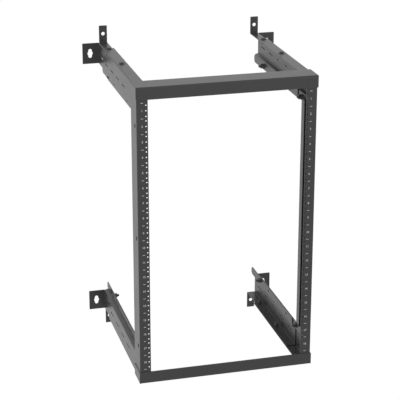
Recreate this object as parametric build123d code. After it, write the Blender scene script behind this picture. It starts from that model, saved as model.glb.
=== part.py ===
"""Wall mount rack: an 18U open frame held off a wall by four adjustable arms.

Each rail, upright, arm and wall bracket is one bent steel sheet. An arm and the
bracket nested inside it have the same section: a flange, a web, and a strip that is
joggled inward so that the bolt heads sit in its recess.

The upper right corner is built once about the frame's centre, with the front plane at
Y = 0, and mirrored to the other three. Then all is moved so that the origin is on the
wall face of the upper left bracket's side tab, at the centre of its keyhole.
X runs to the right, Y back to the wall and Z up.
"""
from build123d import *
from math import hypot, radians, tan
import os

# Rack standard
unit_height = 44.45          # height of one rack unit
units = 18                   # rack units between the rails
unit_hole_end = 6.35         # from a unit's top or bottom to its nearest hole
column_spacing = 465.1       # between the two columns of rail holes
rail_hole = 4.1              # tapped hole for a rack screw, without its thread
rail_hole_inset = 5.15       # hole column to the edge of the opening

# Sheet
sheet = 2.0                  # thickness of every bent piece
bend_inside = 1.2            # inside radius of every bend
nest_gap = 0.4               # between an arm and the bracket inside it

# Front frame
rail_face = 35.5             # height of a rail's front face
rail_depth = 67.0            # depth of a rail's flange
upright_face = 32.0          # width of an upright's front flange
upright_depth = 73.0         # depth of an upright's web
upright_rear = 22.1          # width of an upright's rear flange
upright_lip = 27.0           # depth of the lip on the rear flange
notch_gap = 1.0              # beside an arm's strip, in the notch of the rear flange
notch_end_gap = 1.5          # below the strip's free edge, in the same notch
flange_rise = 11.5           # the rear flange runs this far past the strip's free edge
lower_lip_gap = 10.0         # the lip stops this far short of the lower arm's strip
side_hole = 13.0             # holes in the uprights' webs
side_hole_setback = 21.0     # behind the front plane
side_hole_spacing = 331.5

# Arms and wall brackets
wall_distance = 549.0        # front plane to the wall
arm_flange = 33.0            # width of an arm's flange
arm_front = 6.0              # front end of an arm, behind the front plane
arm_rear = 462.0             # rear end of an arm, behind the front plane
bracket_flange = 27.5
joggle_depth = 11.0          # how far the strip is set in from the web
joggle_rise = 3.0            # height that the joggle's slope takes
web_height = 68.5            # an arm flange's outer face to the joggle
strip_height = 26.4          # joggle to the strip's free edge
strip_corner = 7.0           # chamfer on the strip's corners
slot_length = 40.0
slot_height = 3.5
slot_drop = 38.7             # an arm flange's outer face to the slots' centre line
slot_start = 102.0           # upright's rear edge to the middle of the first slot
slot_pitch = 79.0
arm_slots = 4
bracket_slots = 5
flange_hole_spacing = 180.0
flange_hole_margin = 10.0    # rear flange hole to the arm's rear end
flange_hole_inset = 16.4     # in from an arm's outer face
bolt_clearance = 19.0        # upright's rear edge to the front bolt
bolt_margin = 11.0           # the rear bolt to the arm's rear end
bolt_drop = 84.5             # an arm flange's outer face to the bolts
strip_hole_steps = 4         # equal steps from bolt to bolt, a hole at each but the middle one
bracket_gap = 30.0           # the front bolt to the bracket's front end

# Wall tabs
tab_relief = 1.0             # slit between a vertical tab and the web
tab_bend_start = 6.0         # the bracket's section ends this far from the wall
side_tab_height = 63.6
side_tab_reach = 49.6        # beyond the bracket's outer face
vertical_tab_rise = 52.4     # above the bracket's flange
tab_hole = 11.0
tab_hole_rise = 27.2         # bracket flange to the round hole
keyhole_reach = 26.0         # beyond the bracket's outer face
keyhole_centre = 16.0        # diameter of the keyhole's round middle
keyhole_slot = 11.0
keyhole_height = 28.0
tab_corner = 2.0

# Bolts and nuts
bolt_size = 8.0
bolt_hole_gap = 0.4          # hole over the bolt, on diameter
front_bolt_length = 16.0     # under the head, through an arm's strip
rear_bolt_length = 20.0      # under the head, through an arm's and a bracket's strip
thread_chamfer = 0.8         # at a bolt's end
head_diameter = 14.0
head_height = 4.0
head_side = 0.8              # straight part of a head, below its dome
nut_across = 13.0
nut_height = 9.5
nut_flange = 17.0            # diameter of a nut's flange
nut_flange_height = 1.5
nut_gap = 0.1                # nut bore over the bolt, on diameter
crown = 12.4                 # diameter of a nut's round face
crown_slope = 30.0           # degrees from that face to its corners
seam_radius = 1.5            # along the welded corners of a rail
flap_chamfer = 1.5           # along the free edge of a rail's flap

# Worked out from the sizes above
opening = units * unit_height
frame_half = column_spacing / 2 - rail_hole_inset + upright_face   # to an upright's outer face
half_height = opening / 2 + unit_height          # a rail's flange lies a unit beyond the opening
arm_outer = frame_half - sheet                   # an arm's web lies against an upright's
arm_top = half_height - sheet                    # an arm's flange lies under a rail's
nest_step = sheet + nest_gap
bracket_outer = arm_outer - nest_step
bracket_top = arm_top - nest_step
joggle_level = arm_top - web_height
nested_joggle_level = joggle_level + nest_step * (
    hypot(joggle_depth, joggle_rise) - joggle_rise) / joggle_depth
strip_edge = joggle_level - strip_height
bolt_level = arm_top - bolt_drop
bolt_setbacks = (upright_depth + bolt_clearance, arm_rear - bolt_margin)
bracket_front = bolt_setbacks[0] + bracket_gap
first_slot = upright_depth + slot_start
flange_hole_setbacks = (arm_rear - flange_hole_margin - flange_hole_spacing,
                        arm_rear - flange_hole_margin)
slot_level = arm_top - slot_drop
keyhole_level = bracket_top - side_tab_height / 2
arm_strip = arm_outer - joggle_depth             # outer face of an arm's strip
bracket_strip = bracket_outer - joggle_depth
bolt_hole = bolt_size + bolt_hole_gap
middle_bend = bend_inside + sheet / 2
half_sheet = sheet / 2
keyhole_x = bracket_outer + keyhole_reach
tab_hole_x = (2 * bracket_outer - sheet - tab_relief - bracket_flange) / 2


def bent_sheet(plane, points, length):
    """A sheet bent along the line through points, which run in its middle."""
    with BuildPart() as bent:
        with BuildSketch(plane):
            with BuildLine():
                FilletPolyline(*points, radius=middle_bend)
            trace(line_width=sheet)
        extrude(amount=length)
    return bent.part


def box_between(low, high):
    """A box from its low corner to its high corner."""
    middle = [(a + b) / 2 for a, b in zip(low, high)]
    return Pos(*middle) * Box(*[b - a for a, b in zip(low, high)])


def drill(axis, diameter, x, y, z):
    """A short rod along an axis, to be cut from the one sheet at that place."""
    turn = {"x": Rot(0, 90, 0), "y": Rot(90, 0, 0), "z": Rot(0, 0, 0)}[axis]
    return Pos(x, y, z) * turn * Cylinder(diameter / 2, 4 * sheet)


def slot_cutter(x, y, z):
    """A long hole through a web, along the depth."""
    straight = slot_length - slot_height
    cutter = box_between((x - 2 * sheet, y - straight / 2, z - slot_height / 2),
                         (x + 2 * sheet, y + straight / 2, z + slot_height / 2))
    for end in (-straight / 2, straight / 2):
        cutter += drill("x", slot_height, x, y + end, z)
    return cutter


def depth_plane(y):
    """A plane at depth y whose own x is -X and whose own y is Z, extruding to the wall."""
    return Plane(origin=(0, y, 0), x_dir=(-1, 0, 0), z_dir=(0, 1, 0))


def channel_section(outer, top, flange, joggle, front, rear):
    """Flange, web, joggle and strip, from front to rear, for the right hand side."""
    web = outer - half_sheet
    strip = web - joggle_depth
    section = [(outer - flange, top - half_sheet), (web, top - half_sheet),
               (web, joggle), (strip, joggle - joggle_rise), (strip, strip_edge)]
    return bent_sheet(depth_plane(front), [(-x, z) for x, z in section], rear - front)


def strip_holes(strip, front, rear):
    """The bolts' holes and the spare ones between them, in one strip."""
    first, last = bolt_setbacks
    step = (last - first) / strip_hole_steps
    places = [first + i * step for i in range(strip_hole_steps + 1) if 2 * i != strip_hole_steps]
    return [drill("x", bolt_hole, strip - half_sheet, y, bolt_level)
            for y in places if front < y < rear]


def chamfered_end(strip, y, step):
    """A wedge that takes the free corner off a strip's end at y; step points along the strip."""
    side = Plane(origin=(strip - 2 * sheet, 0, 0), x_dir=(0, 1, 0), z_dir=(1, 0, 0))
    corner = Polyline((y, strip_edge), (y + step * strip_corner, strip_edge),
                      (y, strip_edge + strip_corner), close=True)
    return extrude(side * make_face(corner), amount=4 * sheet)


def make_arm():
    """The upper right arm, welded at its front end inside the upright and the rail."""
    arm = channel_section(arm_outer, arm_top, arm_flange, joggle_level, arm_front, arm_rear)
    for i in range(arm_slots):
        arm -= slot_cutter(arm_outer - half_sheet, first_slot + i * slot_pitch, slot_level)
    for cutter in strip_holes(arm_strip, arm_front, arm_rear):
        arm -= cutter
    for y in flange_hole_setbacks:
        arm -= drill("z", bolt_hole, arm_outer - flange_hole_inset, y, arm_top - half_sheet)
    return arm - chamfered_end(arm_strip, arm_rear, -1)


def make_bracket():
    """The upper right wall bracket: a shorter section inside the arm, with two wall tabs."""
    section_end = wall_distance - tab_bend_start
    bracket = channel_section(bracket_outer, bracket_top, bracket_flange,
                              nested_joggle_level, bracket_front, section_end)
    bracket += vertical_tab(section_end)
    bracket += side_tab(section_end)
    bracket += box_between((bracket_strip - sheet, section_end, strip_edge),
                           (bracket_strip, wall_distance, joggle_level - 2 * joggle_rise))
    for i in range(bracket_slots):
        bracket -= slot_cutter(bracket_outer - half_sheet, first_slot + i * slot_pitch, slot_level)
    for cutter in strip_holes(bracket_strip, bracket_front, section_end):
        bracket -= cutter
    for y in flange_hole_setbacks:
        bracket -= drill("z", bolt_hole, arm_outer - flange_hole_inset, y,
                         bracket_top - half_sheet)
    bracket -= chamfered_end(bracket_strip, wall_distance, -1)
    return bracket - chamfered_end(bracket_strip, bracket_front, 1)


def vertical_tab(section_end):
    """The flange's end, bent up flat against the wall, with a round hole."""
    inner = bracket_outer - bracket_flange
    width = bracket_flange - sheet - tab_relief
    middle = bracket_top - half_sheet
    wall_middle = wall_distance - half_sheet
    side = Plane(origin=(inner, 0, 0), x_dir=(0, 1, 0), z_dir=(1, 0, 0))
    tab = bent_sheet(side, [(section_end, middle), (wall_middle, middle),
                            (wall_middle, bracket_top + vertical_tab_rise)], width)
    tab -= drill("y", tab_hole, tab_hole_x, wall_middle, bracket_top + tab_hole_rise)
    top_edges = tab.edges().filter_by(Axis.Y).group_by(Axis.Z)[-1]
    return fillet(top_edges, tab_corner)


def side_tab(section_end):
    """The web's end, bent outward flat against the wall, with a keyhole."""
    web = bracket_outer - half_sheet
    wall_middle = wall_distance - half_sheet
    floor_plane = Plane(origin=(0, 0, bracket_top - side_tab_height), x_dir=(1, 0, 0),
                        z_dir=(0, 0, 1))
    tab = bent_sheet(floor_plane, [(web, section_end), (web, wall_middle),
                                   (bracket_outer + side_tab_reach, wall_middle)],
                     side_tab_height)
    outer_edges = tab.edges().filter_by(Axis.Y).group_by(Axis.X)[-1]
    tab = fillet(outer_edges, tab_corner)
    straight = keyhole_height - keyhole_slot
    keyhole = drill("y", keyhole_centre, keyhole_x, wall_middle, keyhole_level)
    keyhole += box_between((keyhole_x - keyhole_slot / 2, wall_distance - 2 * sheet,
                            keyhole_level - straight / 2),
                           (keyhole_x + keyhole_slot / 2, wall_distance + sheet,
                            keyhole_level + straight / 2))
    for end in (-straight / 2, straight / 2):
        keyhole += drill("y", keyhole_slot, keyhole_x, wall_middle, keyhole_level + end)
    return tab - keyhole


def make_upright():
    """The right upright: a channel open to the inside, with a lip on its rear flange."""
    middle = frame_half - half_sheet
    rear_middle = upright_depth - half_sheet
    inner_lip = frame_half - upright_rear + half_sheet
    top = half_height - sheet - bend_inside
    outline = [(frame_half - upright_face, half_sheet), (middle, half_sheet),
               (middle, rear_middle), (inner_lip, rear_middle),
               (inner_lip, upright_depth - upright_lip)]
    floor_plane = Plane(origin=(0, 0, -top), x_dir=(1, 0, 0), z_dir=(0, 0, 1))
    upright = bent_sheet(floor_plane, outline, 2 * top)
    # The rear flange stops beside the arms, which run forward inside the channel, and is
    # notched around their strips. At the lower arm its inner part and the lip stop earlier.
    lip_front = upright_depth - upright_lip - sheet
    bend_front = upright_depth - bend_inside - sheet
    flange_end = strip_edge + flange_rise
    notch_end = strip_edge - notch_end_gap
    notch_inner = arm_strip - sheet - notch_gap
    notch_outer = arm_strip + notch_gap
    for low_x, high_x, front, upper_end, lower_end in (
            (0, notch_inner, lip_front, flange_end, strip_edge - lower_lip_gap),
            (notch_inner, notch_outer, lip_front, notch_end, notch_end),
            (notch_outer, arm_outer, lip_front, flange_end, flange_end),
            (arm_outer - sheet, frame_half + sheet, bend_front, flange_end, flange_end)):
        for low, high in ((upper_end, top + sheet), (-top - sheet, -lower_end)):
            upright -= box_between((low_x, front, low), (high_x, upright_depth + sheet, high))
    for unit in range(units):
        unit_top = opening / 2 - unit * unit_height
        for drop in (unit_hole_end, unit_height / 2, unit_height - unit_hole_end):
            upright -= drill("y", rail_hole, column_spacing / 2, half_sheet, unit_top - drop)
    for i in (-1, 0, 1):
        upright -= drill("x", side_hole, middle, side_hole_setback, i * side_hole_spacing)
    return upright


def make_rail():
    """The top rail: a front face, a flange over the uprights and a flap beside each."""
    outer = frame_half + sheet
    top = half_height
    profile = [(-half_sheet, top - rail_face), (-half_sheet, top - half_sheet),
               (rail_depth, top - half_sheet)]
    side = Plane(origin=(-outer, 0, 0), x_dir=(0, 1, 0), z_dir=(1, 0, 0))
    rail = bent_sheet(side, profile, 2 * outer)
    for hand in (-1, 1):
        low_x, high_x = sorted((hand * frame_half, hand * outer))
        rail += box_between((low_x, -sheet, top - rail_face), (high_x, rail_depth, top))
    outer_edges = rail.edges().filter_by(Axis.Y).filter_by(
        lambda edge: abs(edge.center().X) > frame_half + half_sheet)
    rail = fillet(outer_edges.group_by(Axis.Z)[-1], seam_radius)
    free_edges = rail.edges().filter_by(Axis.Y).filter_by(
        lambda edge: abs(edge.center().X) > frame_half + half_sheet).group_by(Axis.Z)[0]
    return chamfer(free_edges, flap_chamfer)


def make_bolt(y, length):
    """A domed bolt with its head in the recess outside the arm's strip."""
    radius = head_diameter / 2
    dome = head_height - head_side
    ball = (radius ** 2 + dome ** 2) / (2 * dome)
    head = Pos(0, 0, head_height / 2) * Cylinder(radius, head_height)
    head &= Pos(0, 0, head_height - ball) * Sphere(ball)
    shank = Pos(0, 0, -length / 2) * Cylinder(bolt_size / 2, length)
    shank = chamfer(shank.edges().group_by(Axis.Z)[0], thread_chamfer)
    return Pos(arm_strip, y, bolt_level) * Rot(0, 90, 0) * (head + shank)


def make_nut(y):
    """A flanged nut against the strip there: the bracket's, or the arm's in front of it."""
    hexagon = extrude(RegularPolygon(nut_across / 2, 6, major_radius=False), amount=nut_height)
    spread = nut_height / tan(radians(crown_slope))
    crowned = hexagon & Pos(0, 0, nut_height / 2) * Cone(crown / 2 + spread, crown / 2, nut_height)
    crowned += Pos(0, 0, nut_flange_height / 2) * Cylinder(nut_flange / 2, nut_flange_height)
    nut = crowned - Cylinder((bolt_size + nut_gap) / 2, 4 * nut_height)
    strip = bracket_strip if y > bracket_front else arm_strip
    return Pos(strip - sheet, y, bolt_level) * Rot(0, -90, 0) * nut


def place(solid, hand, level):
    """The upper right piece, mirrored to one of the four corners."""
    if hand < 0:
        solid = mirror(solid, about=Plane.YZ)
    if level < 0:
        solid = mirror(solid, about=Plane.XY)
    return solid


def write(name, solid):
    """Move a piece to the keyhole's origin and export it."""
    moved = Pos(keyhole_x, -wall_distance, -keyhole_level) * solid
    export_step(moved, f"parts/{name}.step")


os.makedirs("parts", exist_ok=True)
arm, bracket, upright, rail = make_arm(), make_bracket(), make_upright(), make_rail()
fasteners = {}
for end, y, length in zip(("front", "rear"), bolt_setbacks, (front_bolt_length, rear_bolt_length)):
    fasteners[f"{end}_bolt"] = make_bolt(y, length)
    fasteners[f"{end}_nut"] = make_nut(y)

for level_name, level in (("upper", 1), ("lower", -1)):
    for side_name, hand in (("left", -1), ("right", 1)):
        corner = f"{level_name}_{side_name}"
        write(f"{corner}_arm", place(arm, hand, level))
        write(f"{corner}_wall_bracket", place(bracket, hand, level))
        for name, solid in fasteners.items():
            write(f"{corner}_{name}", place(solid, hand, level))

write("left_upright", place(upright, -1, 1))
write("right_upright", upright)
write("top_rail", rail)
write("bottom_rail", place(rail, 1, -1))
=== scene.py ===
"""The wall mount rack's looks: its coat, printed unit scale, bolts and nuts, light and camera."""
from math import asin, cos, radians, sin, tan

import bmesh
import bpy
import numpy as np
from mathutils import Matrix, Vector


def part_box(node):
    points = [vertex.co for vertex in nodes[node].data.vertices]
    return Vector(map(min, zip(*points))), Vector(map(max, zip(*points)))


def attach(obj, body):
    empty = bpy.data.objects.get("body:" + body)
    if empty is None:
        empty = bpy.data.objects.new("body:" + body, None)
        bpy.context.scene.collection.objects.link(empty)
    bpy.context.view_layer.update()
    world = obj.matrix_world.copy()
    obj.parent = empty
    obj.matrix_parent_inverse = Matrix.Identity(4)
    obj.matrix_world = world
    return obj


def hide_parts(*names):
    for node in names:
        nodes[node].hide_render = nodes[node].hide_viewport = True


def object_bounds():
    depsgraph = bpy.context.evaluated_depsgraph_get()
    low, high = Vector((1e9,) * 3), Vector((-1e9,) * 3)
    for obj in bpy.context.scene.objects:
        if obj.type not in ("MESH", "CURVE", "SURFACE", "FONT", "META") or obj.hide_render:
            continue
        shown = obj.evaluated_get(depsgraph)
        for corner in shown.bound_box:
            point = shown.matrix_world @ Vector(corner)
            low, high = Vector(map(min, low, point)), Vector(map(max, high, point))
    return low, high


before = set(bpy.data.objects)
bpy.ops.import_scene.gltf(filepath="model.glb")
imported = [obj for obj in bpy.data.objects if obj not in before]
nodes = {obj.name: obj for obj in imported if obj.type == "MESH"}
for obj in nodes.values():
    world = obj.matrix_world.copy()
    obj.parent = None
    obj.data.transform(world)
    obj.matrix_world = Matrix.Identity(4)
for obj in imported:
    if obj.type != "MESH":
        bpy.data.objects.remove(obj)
cad_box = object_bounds()
centre = (cad_box[0] + cad_box[1]) / 2    # of the rack's box

# Camera, measured in the photograph
AZIMUTH = radians(14.907)         # the camera stands this far to the left of the front
ELEVATION = radians(19.846)
DISTANCE = 3.9                    # from the point that it aims at
AIM = Vector((0.15666, -0.71344, -0.24054))
PHOTO_PIXELS = 400                # the photograph's width
FOCAL_PIXELS = 1454.41
SENSOR = 36.0
FAR_CLIP = 50.0

# Printed scale on the uprights
UNIT = 0.04445
UNITS = 18
PRINT_COLUMNS = {"left": -0.2440, "right": 0.2413}    # from the centre plane
DIGIT_HEIGHT = 0.0060
DIGIT_WEIGHT = 0.00015            # added all round a digit's strokes
DIGIT_CURVE_STEPS = 4
CAP_SHARE = 0.70                  # a capital's share of the font's size
TICK_WIDTH = 0.0066
TICK_HEIGHT = 0.0014
INK_THICKNESS = 0.00008

# Bolts and nuts
HEAD_RADIUS = 0.0070
HEAD_HEIGHT = 0.0040
HEAD_SIDE = 0.0008                # straight part of the head, below its dome
DOME_STEPS = 10
BOLT_RADIUS = 0.0040
THREAD_DEPTH = 0.00065
THREAD_PITCH = 0.00125
END_CHAMFER = 0.0008              # along the bolt
FLANGE_BOLT_RADIUS = 0.0030
FLANGE_BOLT_LENGTH = 0.0145       # under the washer
FLANGE_BOLT_INSET = 0.0164        # in from an arm's outer face
FLANGE_BOLT_MARGIN = 0.0100       # from an arm's rear end to the rear bolt
FLANGE_BOLT_SPACING = 0.1800      # from the rear bolt to the front one
GRIP = 0.0044                     # an arm's and a bracket's sheet, and the gap between them
ACROSS = 0.0105                   # a hexagon's width over its flats
CROWN = 0.0100                    # diameter of a hexagon's round end face
CROWN_SLOPE = radians(30)
CROWN_STEPS = 5
HEX_HEAD_HEIGHT = 0.0032
WASHER_RADIUS = 0.0090
WASHER_HEIGHT = 0.0014
NUT_HEIGHT = 0.0085
NUT_FLANGE = 0.0130               # diameter
NUT_FLANGE_HEIGHT = 0.0012
NUT_CLEARANCE = 0.00005           # between a nut's bore and its bolt
STEPS_A_TURN = 7                  # rings of points to one turn of the thread
ROUND_STEPS = 48                  # a multiple of 6, so that a hexagon's corners fall on a step
ANGLES = np.arange(ROUND_STEPS) * 2 * np.pi / ROUND_STEPS

# Powder coat, with linear colours and noise in cells a metre
COAT_DARK = (0.0430, 0.0405, 0.0430, 1)
COAT_LIGHT = (0.0560, 0.0530, 0.0560, 1)
COAT_ROUGH = 0.32                 # on average
COAT_IOR = 1.37
CLOUD_CELLS = 9.0
CLOUD_SHARE = 0.6                 # of the colour's change, and the rest is specks
CLOUD_ROUGH = 0.08                # how far the clouds move the roughness
SPECK_CELLS = 900.0
SPECK_ROUGH = 0.05                # and how far the specks do
PEEL_CELLS = 620.0
PEEL_SHARE = 0.8                  # of the bump, and the rest is grit
PEEL_STRENGTH = 0.22
PEEL_DEPTH = 0.00006
GRIT_CELLS = 2600.0
EDGE_RADIUS = 0.0005
EDGE_SAMPLES = 6

# Black zinc
ZINC_DARK = (0.0540, 0.0540, 0.0555, 1)
ZINC_LIGHT = (0.0780, 0.0780, 0.0795, 1)
ZINC_ROUGH = 0.34
ZINC_IOR = 1.45
RUB_CELLS = 380.0
RUB_ROUGH = 0.20                  # added where it is rubbed
GRAIN_CELLS = 2400.0
GRAIN_STRENGTH = 0.25
GRAIN_DEPTH = 0.00003

# Ink and floor
INK_DARK = (0.50, 0.50, 0.50, 1)
INK_LIGHT = (0.74, 0.74, 0.74, 1)
INK_ROUGH = 0.50
THICK_CELLS = 1500.0
THICK_ROUGH = 0.10                # added where the ink is thick
PAPER_DARK = (0.88, 0.88, 0.88, 1)
PAPER_LIGHT = (0.92, 0.92, 0.92, 1)
FIBRE_CELLS = 40.0
FLOOR_REACH = 9.0                 # from the centre to each side
FLOOR_DROP = 0.35                 # below the rack
WHITE = (1, 1, 1, 1)

# Light
FLOOR_GLOW = 1.03                 # the white that the camera sees on the floor
FLOOR_GLOW_SHARE = 0.96           # and the rest is the paper with its shadow
WORLD_SEEN = 1.0                  # to the camera and in reflections
WORLD_SOFT = 0.42                 # as diffuse light
LAMPS = {                         # place from the rack's centre, width, height and watts
    "key": ((-2.6, -1.7, 2.4), 2.4, 2.4, 42.0),
    "fill": ((1.6, -3.2, 0.8), 2.0, 2.0, 10.0),
    "front": ((-0.72, -3.4, 1.3), 0.35, 1.2, 12.0)}

MIX_A, MIX_B, MIX_COLOUR = 6, 7, 2    # a Mix node's colour sockets
SHARP_FROM = radians(40)              # edges sharper than this stay sharp
SAME_POINT = 1e-7                     # points nearer than this are made one


class Shade:
    """A socket in a material's nodes. Sums and products with it add Math nodes."""

    def __init__(self, tree, socket=None):
        self.tree = tree
        self.socket = socket

    def node(self, kind, settings=(), values=(), output=0):
        """A node of a kind: its settings first, then the values or links of its sockets."""
        made = self.tree.nodes.new(kind)
        for name, value in dict(settings).items():
            setattr(made, name, value)
        for name, value in dict(values).items():
            if isinstance(value, Shade):
                self.tree.links.new(value.socket, made.inputs[name])
            else:
                made.inputs[name].default_value = value
        return Shade(self.tree, made.outputs[output])

    def math(self, operation, first, second):
        """A Math node on two values."""
        return self.node("ShaderNodeMath", {"operation": operation}, {0: first, 1: second})

    def __add__(self, other):
        return self.math("ADD", self, other)

    def __mul__(self, other):
        return self.math("MULTIPLY", self, other)

    __radd__ = __add__
    __rmul__ = __mul__

    def colours(self, low, high):
        """This value as a mask between two colours."""
        return self.node("ShaderNodeMix", {"data_type": "RGBA"},
                         {"Factor": self, MIX_A: low, MIX_B: high}, MIX_COLOUR)


def new_material(name):
    """An empty material, its root Shade and the object coordinates."""
    material = bpy.data.materials.new(name)
    material.use_nodes = True
    material.node_tree.nodes.clear()
    root = Shade(material.node_tree)
    place = root.node("ShaderNodeTexCoord", output="Object")
    return material, root, place


def noise(place, cells, detail=2.0, rough=0.5):
    """Noise from 0 to 1, with a number of cells a metre."""
    values = {"Vector": place, "Scale": cells, "Detail": detail, "Roughness": rough}
    return place.node("ShaderNodeTexNoise", {"normalize": True}, values, "Fac")


def wire_output(root, shader, kind="ShaderNodeOutputMaterial"):
    """Wire a shader to the surface of a material's or the world's output."""
    output = root.tree.nodes.new(kind)
    root.tree.links.new(shader.socket, output.inputs["Surface"])


def finish_material(root, values):
    """A Principled shader with these sockets, wired to the output."""
    wire_output(root, root.node("ShaderNodeBsdfPrincipled", {}, values))


def seen_rays(root):
    """1 for a ray from the camera, a reflection or a clear piece, and 0 for diffuse light."""
    camera = root.node("ShaderNodeLightPath", output="Is Camera Ray")
    glossy = root.node("ShaderNodeLightPath", output="Is Glossy Ray")
    sent = root.node("ShaderNodeLightPath", output="Is Transmission Ray")
    return camera + glossy + sent


def powder_coat():
    """Black satin powder coat: orange peel in the bump, faint cloudiness in the colour."""
    material, root, place = new_material("powder_coat")
    cloud = noise(place, CLOUD_CELLS, detail=4.0)
    speck = noise(place, SPECK_CELLS, detail=1.0)
    peel = noise(place, PEEL_CELLS, detail=2.0, rough=0.45)
    grit = noise(place, GRIT_CELLS, detail=1.0)
    edge = root.node("ShaderNodeBevel", {"samples": EDGE_SAMPLES}, {"Radius": EDGE_RADIUS})
    bump = root.node("ShaderNodeBump", {}, {
        "Strength": PEEL_STRENGTH, "Distance": PEEL_DEPTH,
        "Height": peel * PEEL_SHARE + grit * (1 - PEEL_SHARE), "Normal": edge})
    shift = cloud * CLOUD_SHARE + speck * (1 - CLOUD_SHARE)
    smoothest = COAT_ROUGH - (CLOUD_ROUGH + SPECK_ROUGH) / 2
    finish_material(root, {
        "Base Color": shift.colours(COAT_DARK, COAT_LIGHT),
        "Roughness": cloud * CLOUD_ROUGH + speck * SPECK_ROUGH + smoothest,
        "IOR": COAT_IOR, "Normal": bump})
    return material


def black_zinc():
    """Black zinc on the bolts and nuts, a little worn to grey where it is rubbed."""
    material, root, place = new_material("black_zinc")
    rub = noise(place, RUB_CELLS, detail=3.0, rough=0.6)
    grain = noise(place, GRAIN_CELLS)
    bump = root.node("ShaderNodeBump", {}, {
        "Strength": GRAIN_STRENGTH, "Distance": GRAIN_DEPTH, "Height": grain})
    finish_material(root, {
        "Base Color": rub.colours(ZINC_DARK, ZINC_LIGHT), "Metallic": 0.0,
        "Roughness": rub * RUB_ROUGH + ZINC_ROUGH, "IOR": ZINC_IOR, "Normal": bump})
    return material


def scale_ink():
    """Pale screen printing ink, darker in small spots where it is thin."""
    material, root, place = new_material("scale_ink")
    thick = noise(place, THICK_CELLS)
    finish_material(root, {
        "Base Color": thick.colours(INK_DARK, INK_LIGHT),
        "Roughness": thick * THICK_ROUGH + INK_ROUGH})
    return material


def pale_floor():
    """White paper that keeps the shadow. The camera and reflections see it nearly white."""
    material, root, place = new_material("pale_floor")
    fibre = noise(place, FIBRE_CELLS, detail=3.0)
    paper = root.node("ShaderNodeBsdfDiffuse", {}, {
        "Color": fibre.colours(PAPER_DARK, PAPER_LIGHT)})
    glow = root.node("ShaderNodeEmission", {}, {"Color": WHITE, "Strength": FLOOR_GLOW})
    wire_output(root, root.node("ShaderNodeMixShader", {}, {
        0: seen_rays(root) * FLOOR_GLOW_SHARE, 1: paper, 2: glow}))
    return material


def wear(piece, material):
    """Give a piece one material."""
    piece.data.materials.clear()
    piece.data.materials.append(material)


def add_piece(name, points, faces, material):
    """A finished piece on the root body, from an array of points in metres and its faces."""
    mesh = bpy.data.meshes.new(name)
    mesh.from_pydata(points.tolist(), [], faces)
    cleaned = bmesh.new()
    cleaned.from_mesh(mesh)
    bmesh.ops.remove_doubles(cleaned, verts=cleaned.verts, dist=SAME_POINT)
    bmesh.ops.recalc_face_normals(cleaned, faces=cleaned.faces)
    cleaned.to_mesh(mesh)
    cleaned.free()
    mesh.shade_smooth()
    mesh.set_sharp_from_angle(angle=SHARP_FROM)
    piece = bpy.data.objects.new(name, mesh)
    bpy.context.scene.collection.objects.link(piece)
    wear(piece, material)
    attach(piece, "root")
    return piece


def wrapped_faces(rows, columns):
    """Quads between neighbouring rows of a grid whose columns close on themselves."""
    row, column = np.meshgrid(np.arange(rows - 1), np.arange(columns), indexing="ij")
    after = (column + 1) % columns
    corners = (row * columns + column, row * columns + after,
               (row + 1) * columns + after, (row + 1) * columns + column)
    return np.stack(corners, -1).reshape(-1, 4).tolist()


def domed_head():
    """Depths and radii of a domed head.

    The dome is a ball's cap. The ball's radius is the sum of the squares of the head's radius
    and the dome's height, over twice that height. At angle t from the top the depth is the
    ball's radius times one less the cosine of t, and the radius the ball's times the sine of t.
    """
    dome = HEAD_HEIGHT - HEAD_SIDE
    ball = (HEAD_RADIUS ** 2 + dome ** 2) / (2 * dome)
    lean = np.linspace(0, asin(HEAD_RADIUS / ball), DOME_STEPS)
    depths = list(ball * (1 - np.cos(lean))) + [HEAD_HEIGHT]
    radii = list(ball * np.sin(lean)) + [HEAD_RADIUS]
    return depths, radii


def crowned_hexagon():
    """Depths from its end face, and radii, of a hexagon with a crown.

    The hexagon's radius is half its width over the cosine of the angle from the middle of the
    nearest flat. The crown is a cone, whose radius is the end face's plus the depth over the
    slope's tangent, and each point has the smaller of the two.
    """
    hexagon = ACROSS / 2 / np.cos(ANGLES % (np.pi / 3) - np.pi / 6)
    depths = np.linspace(0, (hexagon.max() - CROWN / 2) * tan(CROWN_SLOPE), CROWN_STEPS)
    cones = CROWN / 2 + depths / tan(CROWN_SLOPE)
    return list(depths), [np.minimum(hexagon, cone) for cone in cones]


def hexagon_head():
    """Depths and radii of a hexagon head on its washer."""
    depths, radii = crowned_hexagon()
    total = HEX_HEAD_HEIGHT + WASHER_HEIGHT
    return ([0.0] + depths + [HEX_HEAD_HEIGHT, HEX_HEAD_HEIGHT, total],
            [0.0] + radii + [radii[-1], WASHER_RADIUS, WASHER_RADIUS])


def bolt_grid(head, length, radius):
    """Depths and radii of a bolt: its head, its thread and its chamfered end.

    The thread's radius is the bolt's, less half the thread's depth times one less a cosine. The
    cosine's angle is a full turn for each pitch of depth, less the angle round the bolt.
    """
    start = head[0][-1]
    depths = np.arange(start, start + length - END_CHAMFER, THREAD_PITCH / STEPS_A_TURN)
    wave = np.cos(2 * np.pi * depths[:, None] / THREAD_PITCH - ANGLES)
    thread = radius - THREAD_DEPTH * (0.5 - 0.5 * wave)
    end = radius - THREAD_DEPTH - END_CHAMFER / 2
    return head[0] + list(depths) + [start + length] * 2, head[1] + list(thread) + [end, 0.0]


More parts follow.
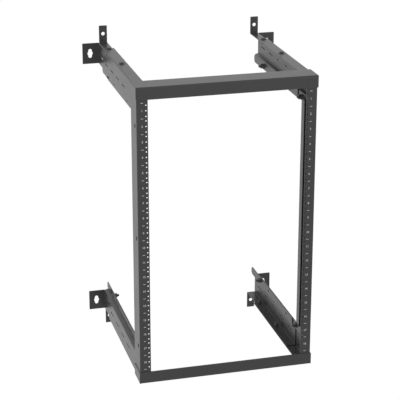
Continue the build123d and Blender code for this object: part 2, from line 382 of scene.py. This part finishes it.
def nut_grid():
    """Depths and radii of a flanged nut, from its seat round its outside and down its bore."""
    bore = FLANGE_BOLT_RADIUS + NUT_CLEARANCE
    drops, crown = crowned_hexagon()
    depths = [0.0, 0.0, NUT_FLANGE_HEIGHT, NUT_FLANGE_HEIGHT]
    depths += [NUT_HEIGHT - drop for drop in drops[::-1]] + [NUT_HEIGHT, 0.0]
    radii = [bore, NUT_FLANGE / 2, NUT_FLANGE / 2, crown[-1]] + crown[::-1] + [bore, bore]
    return depths, radii


def add_turned(name, grid, start, way, material):
    """A bolt or nut whose rings of points are set along way from start.

    A point lies its depth along way from start, then its radius times the sine of its angle
    along Y and its radius times the cosine along the direction square to both.
    """
    depths = np.array(grid[0])
    radii = np.array([np.broadcast_to(ring, ANGLES.shape) for ring in grid[1]])
    way, side = np.array(way, float), np.array((0.0, 1.0, 0.0))
    rings = (radii * np.sin(ANGLES))[..., None] * side
    rings += (radii * np.cos(ANGLES))[..., None] * np.cross(way, side)
    points = np.array(start) + depths[:, None, None] * way + rings
    faces = wrapped_faces(*radii.shape)
    return add_piece(name, points.reshape(-1, 3), faces, material)


def make_strip_bolts(material):
    """A threaded bolt in place of each plain one, its head on the side away from the centre."""
    for name in sorted(n for n in nodes if n.endswith("_bolt")):
        low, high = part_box(name)
        on_right = low.x > centre.x
        start = (high.x if on_right else low.x, (low.y + high.y) / 2, (low.z + high.z) / 2)
        grid = bolt_grid(domed_head(), high.x - low.x - HEAD_HEIGHT, BOLT_RADIUS)
        piece = add_turned(name + "_threaded", grid, start, (-1 if on_right else 1, 0, 0), material)
        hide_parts(name)


def make_flange_bolts(material):
    """Two bolts and their nuts through each arm's flange and the bracket's inside it."""
    bolt = bolt_grid(hexagon_head(), FLANGE_BOLT_LENGTH, FLANGE_BOLT_RADIUS)
    nut = nut_grid()
    for name in sorted(n for n in nodes if n.endswith("_arm")):
        low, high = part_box(name)
        upper, on_right = name.startswith("upper"), low.x > centre.x
        x = high.x - FLANGE_BOLT_INSET if on_right else low.x + FLANGE_BOLT_INSET
        face, inward = (high.z, -1) if upper else (low.z, 1)
        head_top = face - inward * (HEX_HEAD_HEIGHT + WASHER_HEIGHT)
        nut_seat = face + inward * GRIP
        way = (0, 0, inward)
        for i, end in enumerate(("rear", "front")):
            y = high.y - FLANGE_BOLT_MARGIN - i * FLANGE_BOLT_SPACING
            add_turned(f"{name}_flange_{end}_bolt", bolt, (x, y, head_top), way, material)
            add_turned(f"{name}_flange_{end}_nut", nut, (x, y, nut_seat), way, material)


def number_shape(text):
    """The points and faces of a number, flat in X and Y and as thick as the ink."""
    curve = bpy.data.curves.new("number", "FONT")
    curve.body = text
    curve.size = DIGIT_HEIGHT / CAP_SHARE
    curve.align_x = "CENTER"
    curve.align_y = "CENTER"
    curve.extrude = INK_THICKNESS / 2
    curve.offset = DIGIT_WEIGHT
    curve.resolution_u = DIGIT_CURVE_STEPS
    holder = bpy.data.objects.new("number", curve)
    bpy.context.scene.collection.objects.link(holder)
    bpy.context.view_layer.update()
    mesh = bpy.data.meshes.new_from_object(holder)
    points = np.empty(len(mesh.vertices) * 3)
    mesh.vertices.foreach_get("co", points)
    faces = [list(face.vertices) for face in mesh.polygons]
    bpy.data.objects.remove(holder)
    bpy.data.curves.remove(curve)
    bpy.data.meshes.remove(mesh)
    return points.reshape(-1, 3), faces


def tick_shape():
    """A flat bar as thick as the ink: every sign of its three half sizes."""
    signs = np.array([(x, y, z) for x in (-1, 1) for y in (-1, 1) for z in (-1, 1)])
    half = np.array((TICK_WIDTH, TICK_HEIGHT, INK_THICKNESS)) / 2
    faces = [[0, 1, 3, 2], [4, 6, 7, 5], [0, 4, 5, 1], [2, 3, 7, 6], [0, 2, 6, 4], [1, 5, 7, 3]]
    return signs * half, faces


def make_print(side, material):
    """One upright's print: a tick at each unit's end and its number halfway."""
    low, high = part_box(side + "_upright")
    column = centre.x + PRINT_COLUMNS[side]
    top = (low.z + high.z) / 2 + UNITS * UNIT / 2
    marks = [(tick_shape(), i * UNIT) for i in range(UNITS + 1)]
    marks += [(number_shape(str(i + 1)), (i + 0.5) * UNIT) for i in range(UNITS)]
    points, faces, count = [], [], 0
    for (flat, flat_faces), drop in marks:
        points.append(np.stack((flat[:, 0] + column, low.y - INK_THICKNESS / 2 - flat[:, 2],
                                flat[:, 1] + top - drop), -1))
        faces += [[corner + count for corner in face] for face in flat_faces]
        count += len(flat)
    add_piece(side + "_unit_scale", np.concatenate(points), faces, material)


def make_floor(material):
    """A wide level sheet below the rack, which hangs clear of it."""
    level = cad_box[0].z - FLOOR_DROP
    corners = [(centre.x + x * FLOOR_REACH, centre.y + y * FLOOR_REACH, level)
               for x, y in ((-1, -1), (1, -1), (1, 1), (-1, 1))]
    mesh = bpy.data.meshes.new("floor")
    mesh.from_pydata(corners, [], [(0, 1, 2, 3)])
    floor = bpy.data.objects.new("floor", mesh)
    bpy.context.scene.collection.objects.link(floor)
    wear(floor, material)


def make_world():
    """White to the camera and to reflections, and a softer white to diffuse light."""
    world = bpy.data.worlds.new("studio")
    bpy.context.scene.world = world
    world.use_nodes = True
    world.node_tree.nodes.clear()
    root = Shade(world.node_tree)
    soft = root.node("ShaderNodeBackground", {}, {"Color": WHITE, "Strength": WORLD_SOFT})
    bright = root.node("ShaderNodeBackground", {}, {"Color": WHITE, "Strength": WORLD_SEEN})
    both = root.node("ShaderNodeMixShader", {}, {0: seen_rays(root), 1: soft, 2: bright})
    wire_output(root, both, "ShaderNodeOutputWorld")


def make_lamp(name, place, width, height, power):
    """A soft box that faces the rack's centre."""
    lamp = bpy.data.lights.new(name, "AREA")
    lamp.shape = "RECTANGLE"
    lamp.size = width
    lamp.size_y = height
    lamp.energy = power
    holder = bpy.data.objects.new(name, lamp)
    holder.location = centre + Vector(place)
    holder.rotation_euler = (-Vector(place)).to_track_quat("-Z", "Y").to_euler()
    bpy.context.scene.collection.objects.link(holder)


def make_camera():
    """The photograph's viewpoint, with no shift.

    The lens is the sensor's width times the focal length in pixels, over the photograph's width.
    """
    lens = bpy.data.cameras.new("camera")
    lens.sensor_width = SENSOR
    lens.lens = FOCAL_PIXELS / PHOTO_PIXELS * SENSOR
    lens.clip_end = FAR_CLIP
    ahead = Vector((sin(AZIMUTH) * cos(ELEVATION), cos(AZIMUTH) * cos(ELEVATION), -sin(ELEVATION)))
    camera = bpy.data.objects.new("camera", lens)
    camera.location = AIM - ahead * DISTANCE
    camera.rotation_euler = ahead.to_track_quat("-Z", "Y").to_euler()
    bpy.context.scene.collection.objects.link(camera)
    bpy.context.scene.camera = camera


coat, zinc, ink = powder_coat(), black_zinc(), scale_ink()
for node_name, node in nodes.items():
    wear(node, zinc if node_name.endswith(("_bolt", "_nut")) else coat)
make_strip_bolts(zinc)
make_flange_bolts(zinc)
for upright_side in PRINT_COLUMNS:
    make_print(upright_side, ink)
make_floor(pale_floor())
make_world()
for lamp_name, lamp_values in LAMPS.items():
    make_lamp(lamp_name, *lamp_values)
make_camera()
bpy.context.scene.view_settings.view_transform = "Standard"
